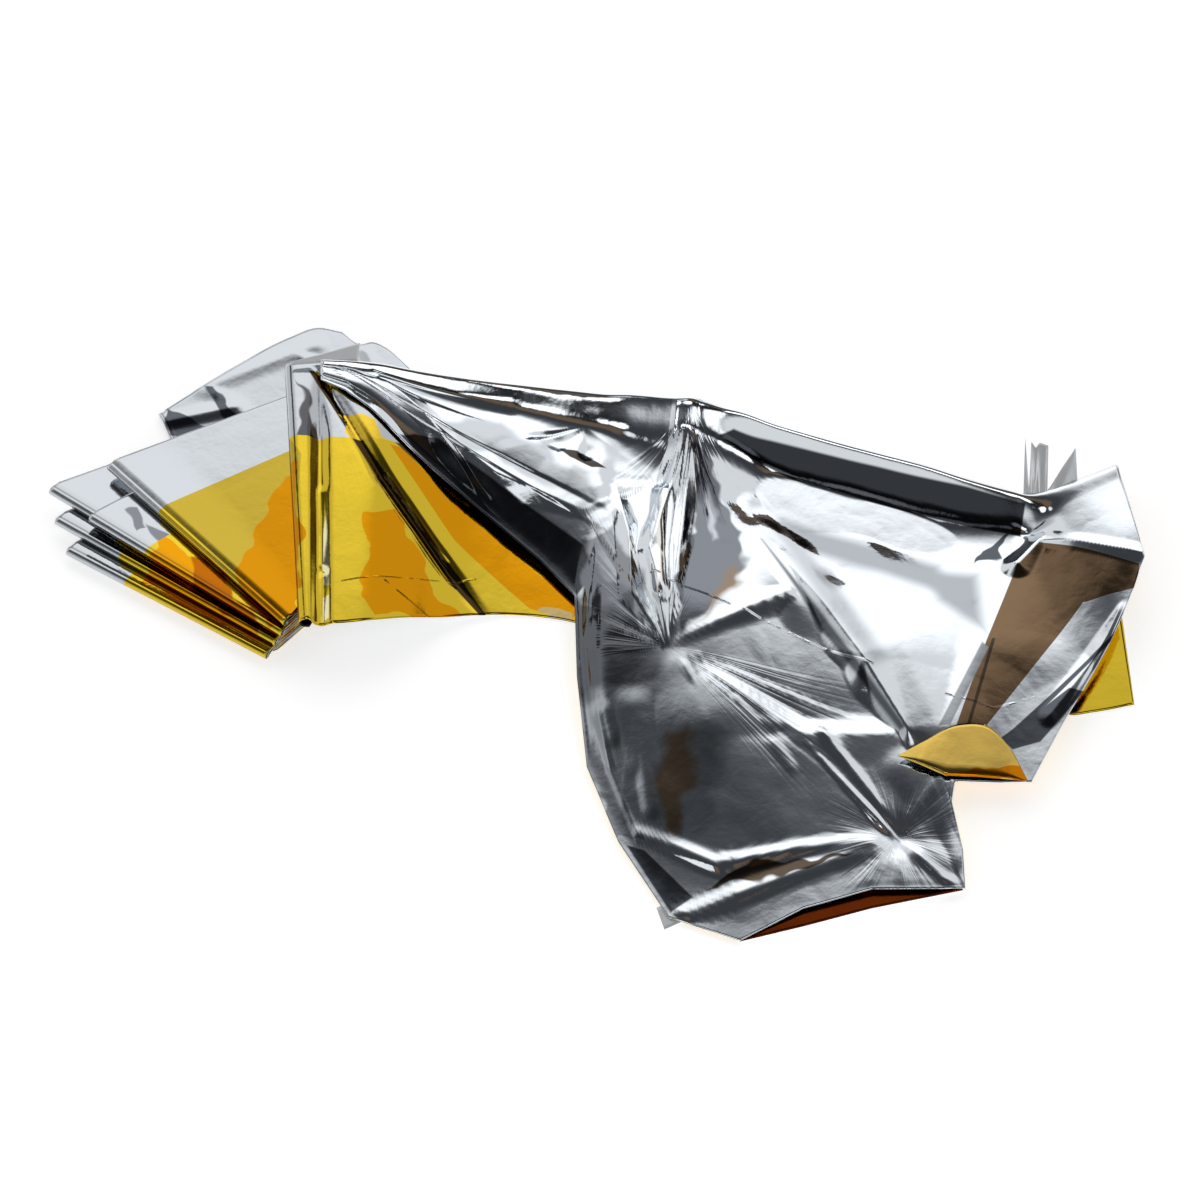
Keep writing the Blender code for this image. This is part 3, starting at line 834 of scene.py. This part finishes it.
def ribControls(rib):
    back = at(rib.back, 0)
    front = at(rib.front, 0)
    length = lengths(front - back)
    forward = (front - back) / length
    band = min(section["band"], section["bandShare"] * length)
    edge = min(section["edgeStrip"], section["edgeShare"] * length)
    drop = rib.drop * band / section["band"]
    stations = [
        (0, rib.crest),
        (band, max(rib.crest - drop, rib.mid - section["sag"])),
        (max(section["midAt"] * length, band + section["midGap"]), rib.mid),
        (section["lowAt"] * length, rib.low),
        (length - edge, rib.edge),
        (length, rib.edge),
    ]
    foot = at((rib.back[0], rib.back[1] + section["footBack"]), rib.ply)
    controls = [back + forward * run + at((0, 0), level) for run, level in stations]
    return [foot] + controls + [at(rib.plyNear, rib.ply)]


ribRows = np.array([ribControls(rib) for rib in ribs])
ribGaps = lengths(ribRows[1:] - ribRows[:-1]).max(axis=1)
ribSteps = [max(leastSteps, round(gap / section["ribPitch"])) for gap in ribGaps]
fineRibs = smoothThrough(ribRows, ribSteps)
straight = slice(section["straightFrom"], -1)
fineRibs[:, straight] = straightThrough(ribRows, ribSteps)[:, straight]
for column in (0, -1):
    fineRibs[:, column, 2] = np.maximum(fineRibs[:, column, 2], strip["lowest"])
openedLines = fineRibs[:, [0, -1]]
print("stage: sections worked out:", len(fineRibs))


def makeStrip():
    across = strip["acrossSteps"]
    share = (np.arange(across + 1) / across)[:, None]
    folded, shades, bundleEnd = accordionLines()
    rollShare = (np.arange(1, strip["rollSteps"]) / strip["rollSteps"])[:, None, None]
    rollTop = folded[-1] + (openedLines[0] - folded[-1]) * rollShare
    close = strip["closeRows"]
    lines = np.concatenate([folded, rollTop, openedLines[:close], openedLines[close::strip["thinning"]]])
    grid = lines[:, None, 0] + (lines[:, None, 1] - lines[:, None, 0]) * share
    back = grid[:bundleEnd]
    farOnly = between(back[..., 1], strip["bundleFrom"], strip["bundleFull"])
    back[..., 2] += creaseRelief(back[..., :2], bundleCreases, strip["hollow"]) * farOnly
    opened = grid[len(folded):]
    relief = creaseRelief(opened[..., :2], goldCreases, strip["hollow"])
    relief += creaseRelief(opened[..., :2], rollCreases, strip["rollHollow"])
    relief *= between(opened[..., 2], strip["reliefFrom"], strip["reliefFull"])
    relief[:, 0] = 0
    opened[..., 2] = np.maximum(opened[..., 2] + relief, strip["lowest"])
    shades = shades + [0.0] * (len(grid) - len(shades))
    made = makePiece("folded_strip", grid, strip, goldFilm, stripFilm, shades=shades)
    bandFaces = round(strip["bandShare"] * across) * 2
    for polygon in made[0].data.polygons:
        polygon.material_index = 1 if polygon.index % (across * 2) < bandFaces else 0
    return made


foldedStrip, stripGrid, stripArea = makeStrip()
print("stage: folded strip made")


# the opened sheet

sheet = {
    "clear": 2.4,       # least height of the sheet above the strip
    "lowest": 0.8,
    "edgeFade": 0.35,
    "filmThickness": 0.3,
    "hollow": 1.25,
    "fineHollow": 1.5,
    "roundHollow": 0,
    "fadeColumns": 8,   # faces past the band before the creases are full
    "fanSeed": 5,
    "crumples": [(9.0, 0.0016), (26.0, 0.0008)],
    "seed": 8.0,
}
broadCreases = [
    # pleats from the peak down to the gather
    [(62, 128, 8, 12), (35, 28, 8, 15), (46, -46, 1, 4)],
    [(66, 126, 6, 8), (57, 40, 7, 9), (48, -44, 0, 3)],
    [(67, 124, 5, 45, 11), (104, 42, 4.5, 85, 20), (132, -10, 3, 70, 14)],
    [(46, -51, 0, 4), (132, -6, 5, 14)],
    [(12, 88, 0.5, 6), (20, 44, 5, 10), (22, -8, 6, 10), (44, -48, 1, 3)],
    # nips across the back band at the peak
    [(56, 152, 3, 3.5), (53, 128, 2, 3.5)],
    [(72, 151, 3, 3.5), (74, 127, 2, 3.5)],
    # the long ridge to the right, dark on its near side
    [(111, 63, 2, 70, 10), (180, -61, 9, 95, 15), (208, -118, 6.5, 60, 11)],
    # crest that hides the valley behind it
    [(80, -76, 1, 8, 20), (136, -119, 4, 13, 60)],
    [(136, -119, 4, 13, 90), (196, -119, 3, 10, 90), (226, -119, 1, 8, 60)],
    # double ridge on the flap
    [(137, -124, 4, 7), (192, -193, 2.5, 5)],
    # left part
    [(-160, 172, 1.5, 7), (-66, 158, 2, 9)],
    [(-167, 179, 1, 7), (-124, 139, 2.5, 9), (-109, 117, 3, 10), (-77, 64, 0.5, 8)],
    [(-124, 139, 2.5, 9), (-75, 95, 3.5, 15), (-18, 68, 1, 10)],
    # right end
    [(311, 40, 1, 7), (380, 17, 2, 9)],
    [(311, 40, 2, 7), (294, 20, 5, 12)],
    [(366, -30, 3, 10), (305, -108, 2, 8)],
    # inner line of the left hem
    [(-10, 4, 0.6, 3.5), (-8, -50, 0.6, 3.5), (-3, -95, 0.6, 3.5), (7, -144, 0.7, 3.5), (25, -195, 0.7, 4)],
]
roundFolds = [
    # full soft folds and dimples
    [(44, 84, 4, 9), (43, -8, 4, 8)],
    [(80, -112, 3, 50), (112, -212, 0, 40)],
    [(22, -98, 0.9, 18), (30, -140, 0.6, 16)],
    [(57, -66, 0.8, 4), (77, -108, 1.5, 7)],
    [(90, -86, 1.0, 5), (118, -114, 1.3, 8)],
    [(92, -158, 1.3, 10), (102, -176, 0.7, 8)],
    [(116, -128, 1.4, 10), (128, -146, 0.7, 8)],
    [(2, -100, 1.0, 10), (8, -120, 0.7, 8)],
    [(28, -128, 0.7, 9), (34, -176, 0.7, 8)],
    [(205, -146, 1.2, 18), (222, -178, 0.8, 14)],
    [(212, -205, 1.0, 14), (228, -216, 0.8, 12)],
    [(82, 106, 1.2, 14), (90, 84, 0.8, 12)],
    [(150, 90, 0.8, 18), (190, 72, 0.6, 16)],
    # long fold at the left of the right end's panel
    [(294, 20, 0.5, 40, 12), (267, -46, 3.5, 60, 18), (241, -116, 1.5, 30, 12)],
    # front hem
    [(193, -198, 1.6, 5), (130, -206, 2.2, 6), (77, -217, 2.4, 7), (27, -193, 1, 6)],
    [(190, -200, 1.5, 7), (103, -234, 2.2, 8), (50, -255, 1.5, 7)],
]
fineCreases = [
    [(150, -118, 1.5, 7), (200, -192, 1.0, 6)],
    [(96, 84, 0.7, 9), (141, 90, 0.4, 9)],
    [(108, 70, 0.4, 10), (174, 15, 0.5, 10)],
    [(141, 90, 0.5, 10), (174, 15, 0.4, 10)],
] + [
    # star pinch on the flap
    [(197, -197, rise, 5), ray] for rise, ray in (
        (1.8, (238, -239, 1, 9)), (1.8, (197, -235, 0, 8)), (1.8, (170, -239, 0, 9)),
        (2.0, (229, -151, 0, 12)), (1.8, (238, -185, 0, 9)), (2.0, (188, -152, 0, 12)),
    )
]
# where, how deep and how wide
sheetPinches = [
    ((46, -51), 1.5, 12),
    ((197, -197), 4, 12),
    ((174, 15), 4, 14),
    ((308, 54), 6, 10),
    ((96, 84), 2.5, 9),
    ((108, 70), 1.5, 9),
    ((141, 90), 2.0, 9),
    ((-34, 126), 2.5, 9),
    ((-10, 118), 2.0, 8),
]
# where, how far, from and to which angle, how many pleats, how deep
sheetFans = [
    ((46, -51), 150, -44, -18, 10, 0.8),
    ((46, -51), 130, 74, 122, 14, 1.4),
    ((46, -51), 58, 122, 184, 9, 0.8),
    ((65, 149), 130, 240, 298, 14, 1.2),
    ((-206, 188), 260, -48, -4, 11, 1.6),
    ((-11, 143), 70, 190, 340, 9, 1.3),
    ((46, 97), 70, 110, 250, 9, 1.3),
    ((197, -197), 60, -180, 180, 12, 0.5),
]


def stripLevels(plan):
    # height of the strip below each place of the sheet, and nothing where the strip isn't
    levels = np.full(plan.shape[:-1], np.nan)
    for (farA, nearA), (farB, nearB) in zip(openedLines, openedLines[1:]):
        shareA = (farA[1] - plan[..., 1]) / (farA[1] - nearA[1])
        shareB = (farB[1] - plan[..., 1]) / (farB[1] - nearB[1])
        left = lerp(farA[0], nearA[0], shareA)
        right = lerp(farB[0], nearB[0], shareB)
        inside = (shareA >= 0) & (shareA <= 1) & (shareB >= 0) & (shareB <= 1)
        inside &= (plan[..., 0] >= left) & (plan[..., 0] <= right) & np.isnan(levels)
        t = (plan[..., 0] - left) / np.maximum(right - left, 1e-6)
        levels = np.where(inside, lerp(farA[2], farB[2], t), levels)
    return levels


def makeSheet():
    controls = fineRibs[:, :-1].transpose(1, 0, 2)
    grid = smoothThrough(controls, section["steps"]).transpose(1, 0, 2)
    plan = grid[..., :2]
    crestAt = section["steps"][0]
    fade = np.clip((np.arange(grid.shape[1]) - crestAt) / (section["steps"][1] + sheet["fadeColumns"]), 0, 1)
    fade[-section["steps"][-1]:] *= sheet["edgeFade"]
    relief = creaseRelief(plan, broadCreases, sheet["hollow"])
    relief += creaseRelief(plan, fineCreases, sheet["fineHollow"])
    relief += creaseRelief(plan, roundFolds, sheet["roundHollow"])
    relief += pinchRelief(plan, sheetPinches)
    relief += fanRelief(plan, sheetFans, sheet["fanSeed"])
    grid[..., 2] += relief * fade
    levels = stripLevels(plan)
    lowest = np.where(np.isnan(levels), sheet["lowest"], levels + sheet["clear"])
    lowest[:, :crestAt + 1] = 0
    grid[..., 2] = np.maximum(grid[..., 2], lowest)
    return makePiece("opened_sheet", grid, sheet, silverFilm, goldFilm)


openedSheet, sheetGrid, sheetArea = makeSheet()
print("stage: opened sheet made")


# small free corners and turned edges of the same film

Corner = namedtuple("Corner", "name first second bulge shows held restsOn")
corners = [
    Corner("turned_corner",
           [(200, -141, 18.5), (212, -146, 18), (231, -156, 18), (252, -157, 18), (270, -158, 17),
            (285, -159, 16)],
           [(201, -140, 18.5), (219, -129, 18.5), (243, -116, 19), (260, -116, 19), (275, -133, 18.5),
            (286, -158, 16)],
           1.2, "gold", "folded", "opened_sheet"),
    Corner("under_edge",
           [(91, -272, 1.0), (134, -261, 2.0), (178, -248, 2.0), (239, -234, 1.2)],
           [(86, -246, 0.8), (125, -236, 0.8), (168, -224, 0.8), (230, -212, 0.8)],
           0, "shade", "laid", "opened_sheet"),
    Corner("under_corner",
           [(37, -247, 0.6), (42, -263, 0.6)],
           [(52, -240, 0.6), (56, -256, 0.6)],
           0, "pale", "laid", "opened_sheet"),
    Corner("end_spikes",
           [(302, 73, 26), (304, 72, 26), (306, 72, 26), (307, 72, 26), (310, 72, 27), (313, 72, 26),
            (317, 73, 27), (318, 73, 27), (320, 74, 27), (329, 78, 28), (338, 83, 29), (341, 84, 29)],
           [(302, 75, 28), (304, 110, 46), (306, 76, 28), (308, 106, 46), (311, 102, 44), (314, 105, 46),
            (320, 103, 45), (319, 76, 28), (321, 78, 29), (330, 90, 37), (339, 100, 46), (341, 87, 30)],
           0, "pale", "gathered", "opened_sheet"),
    Corner("loose_flap",
           [(-227, 178, 44), (-200, 181, 43.5), (-177, 182, 43)],
           [(-226, 181, 44.5), (-203, 188, 45), (-176, 198, 45.5)],
           0.6, "pale", "laid", "folded_strip"),
]
cornerFaces = {
    "gold": (goldFilm, silverFilm),
    "shade": (shadedFilm, silverFilm),
    "pale": (paleFilm, paleFilm),
}
cornerSize = {
    "alongStep": 2.0,
    "acrossSteps": 14,
    "filmThickness": 0.3,
    "crumples": [(30.0, 0.0006)],
    "seed": 2.0,
    "turnShare": 0.14,   # share of the width where a bulging corner turns over
}


def makeCorner(corner):
    first = np.array(corner.first, dtype=float)
    second = np.array(corner.second, dtype=float)
    gaps = np.maximum(lengths(first[1:] - first[:-1]), lengths(second[1:] - second[:-1]))
    steps = [max(leastSteps, round(gap / cornerSize["alongStep"])) for gap in gaps]
    near = straightThrough(first, steps)
    far = smoothThrough(second, steps) if corner.bulge > 1 else straightThrough(second, steps)
    share = (np.arange(cornerSize["acrossSteps"] + 1) / cornerSize["acrossSteps"])[:, None]
    grid = near[:, None] + (far - near)[:, None] * share
    # steep where it turns over, then easing down to the free edge
    swell = np.clip(share[:, 0] / cornerSize["turnShare"], 0, 1) ** 0.5 * (1 - share[:, 0])
    reach = lengths(far - near)
    grid[..., 2] += corner.bulge * swell * np.clip(2 * reach / reach.max(), 0, 1)[:, None]
    return makePiece(corner.name, grid, cornerSize, *cornerFaces[corner.shows], flip=False)


cornerPieces = [makeCorner(corner) for corner in corners]
print("stage: corners made")


# floor, surroundings, camera

studio = {
    "floorColour": (0.90, 0.90, 0.90),
    "floorGlow": 0.56,
    "floorSize": 8.0,
    "floorDrop": 0.0005,
    "floorRoughness": 0.9,
    "wall": (0.80, 0.80, 0.80),
    "strength": 1.0,
    "cameraElevation": 55.0,
    "cameraDistance": 2.0,
    "lens": 85.0,
}
# patches of the surroundings, later ones over earlier ones: where they are in degrees,
# how wide from full to faded, which colour
patches = [
    (268, 28, 6, 32, (0.45, 0.46, 0.47)),
    (110, 18, 5, 28, (0.50, 0.51, 0.52)),
    (0, 30, 18, 29, (1.3, 1.3, 1.3)),
    (180, 75, 37, 50, (0.13, 0.135, 0.142)),
    (180, 74, 27, 42, (0.045, 0.048, 0.052)),
    (180, 60, 10, 26, (0.016, 0.017, 0.019)),
    (180, 80, 4, 13, (0.15, 0.10, 0.065)),
    (53, 16, 7, 12, (0.08, 0.055, 0.035)),
    (256, 36, 3, 9, (0.02, 0.02, 0.022)),
    (318, 39, 3, 8, (0.06, 0.062, 0.066)),
    (24, 3, 3, 8, (0.05, 0.04, 0.03)),
    (205, 60, 3, 10, (2.2, 2.2, 2.2)),
    (140, 62, 2, 9, (1.8, 1.8, 1.8)),
    (250, 72, 2, 7, (1.0, 1.0, 1.0)),
    (180, 40, 4, 12, (1.6, 1.6, 1.6)),
]


def makeFloor():
    half = studio["floorSize"] / 2
    outline = [(-half, -half, 0), (half, -half, 0), (half, half, 0), (-half, half, 0)]
    mesh = bpy.data.meshes.new("floor")
    mesh.from_pydata(outline, [], [(0, 1, 2, 3)])
    material = bpy.data.materials.new("floor white")
    material.use_nodes = True
    shader = material.node_tree.nodes["Principled BSDF"].inputs
    plug(shader["Base Color"], studio["floorColour"])
    plug(shader["Roughness"], studio["floorRoughness"])
    plug(shader["Emission Color"], (1, 1, 1))
    plug(shader["Emission Strength"], studio["floorGlow"])
    mesh.materials.append(material)
    floor = bpy.data.objects.new("floor", mesh)
    floor.location.z = -studio["floorDrop"]
    bpy.context.scene.collection.objects.link(floor)


def direction(azimuth, elevation):
    a, e = math.radians(azimuth), math.radians(elevation)
    return (math.sin(a) * math.cos(e), math.cos(a) * math.cos(e), math.sin(e))


def makeSurroundings():
    world = bpy.data.worlds.new("studio")
    bpy.context.scene.world = world
    world.use_nodes = True
    tree = world.node_tree
    tree.nodes.clear()
    place = addNode(tree, "ShaderNodeTexCoord").outputs["Generated"]
    colour = studio["wall"]
    for azimuth, elevation, inner, outer, tone in patches:
        near = vector(tree, "DOT_PRODUCT", place, direction(azimuth, elevation))
        share = remap(tree, near, math.cos(math.radians(outer)), math.cos(math.radians(inner)), 0.0, 1.0)
        colour = blend(tree, share, colour, tone)
    back = addNode(tree, "ShaderNodeBackground", {"Color": colour, "Strength": studio["strength"]})
    addNode(tree, "ShaderNodeOutputWorld", {"Surface": back.outputs["Background"]})


def makeCamera():
    tilt = math.radians(studio["cameraElevation"])
    reach = studio["cameraDistance"]
    target = -layoutCentre * mm
    data = bpy.data.cameras.new("camera")
    data.lens = studio["lens"]
    camera = bpy.data.objects.new("camera", data)
    camera.location = target + np.array([0, -math.cos(tilt), math.sin(tilt)]) * reach
    camera.rotation_euler = (math.pi / 2 - tilt, 0, 0)
    bpy.context.scene.collection.objects.link(camera)
    bpy.context.scene.camera = camera


makeFloor()
makeSurroundings()
makeCamera()
bpy.context.scene.view_settings.view_transform = "Standard"
print("stage: studio made")


# hand over to the frame

def handOver(piece):
    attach(piece, bodyName)
    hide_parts(nodeName)


handOver(foldedStrip)
handOver(openedSheet)
for corner, (piece, grid, area) in zip(corners, cornerPieces):
    handOver(piece)
